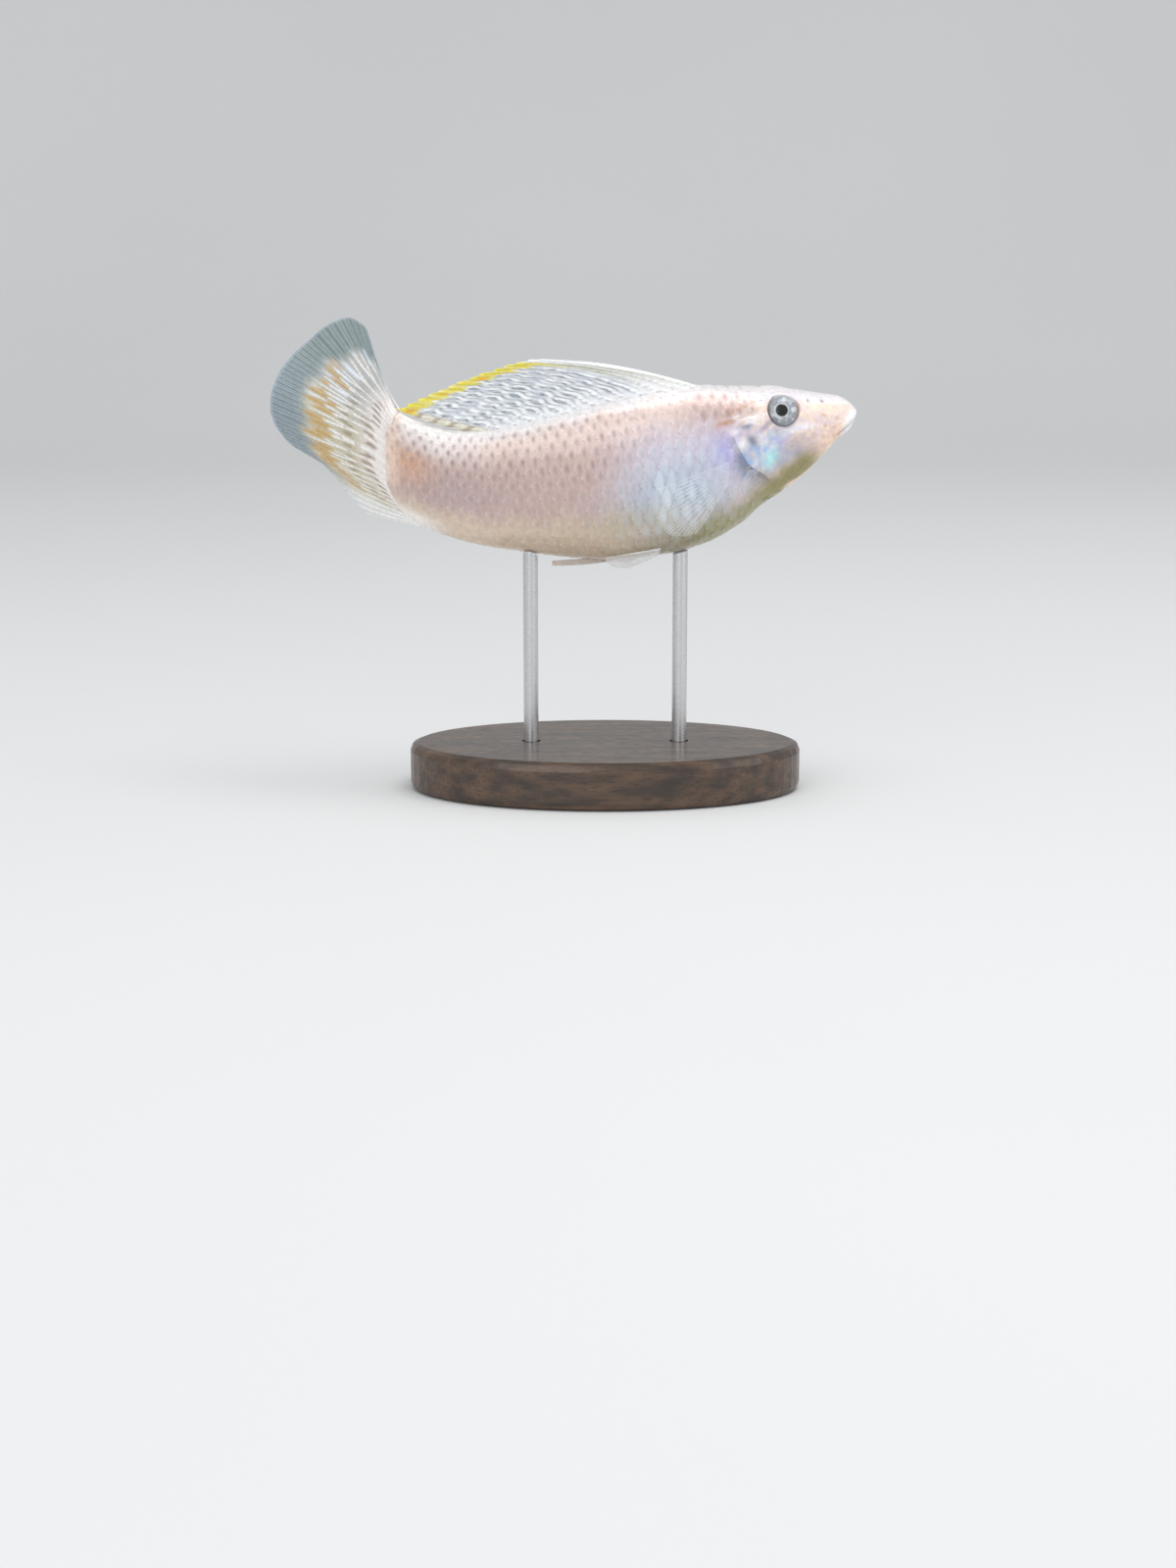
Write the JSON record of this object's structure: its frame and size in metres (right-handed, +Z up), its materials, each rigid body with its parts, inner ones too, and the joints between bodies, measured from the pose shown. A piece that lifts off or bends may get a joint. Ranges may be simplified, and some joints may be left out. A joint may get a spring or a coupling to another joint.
{
  "type": "molly fish figure",
  "caption": "Life-size still figure of a male sailfin molly swimming with its sail folded back, held on two thin rods over an oval base.",
  "frame": {"origin": "centre of the underside of the stand's oval base", "axes": "+Z up, +X towards the fish's snout, +Y towards the fish's left side"},
  "size_m": [0.0864, 0.036, 0.0685],
  "materials": {
    "skin": "pearly wet sheen over fine scales, pale pink to silver with brown-grey scale spots",
    "gill_cover": "iridescent pearl with blue and mint flashes",
    "eye": "wet clear dome over a silver iris and a black pupil",
    "fin": "thin clear membrane between whitish rays",
    "stand_wood": "dark satin varnish",
    "stand_rod": "fine brushed"
  },
  "bodies": {
    "root": {"head": "skin", "lower_jaw": "skin", "torso": "skin", "tail_stalk": "skin", "gill_cover_right": "gill_cover", "gill_cover_left": "gill_cover", "eye_right": "eye", "eye_left": "eye", "dorsal_fin": "fin", "tail_fin": "fin", "anal_fin": "fin", "pectoral_fin_right": "fin", "pectoral_fin_left": "fin", "pelvic_fin_right": "fin", "pelvic_fin_left": "fin", "stand_base": "stand_wood", "stand_rod_front": "stand_rod", "stand_rod_rear": "stand_rod"}
  },
  "joints": []
}
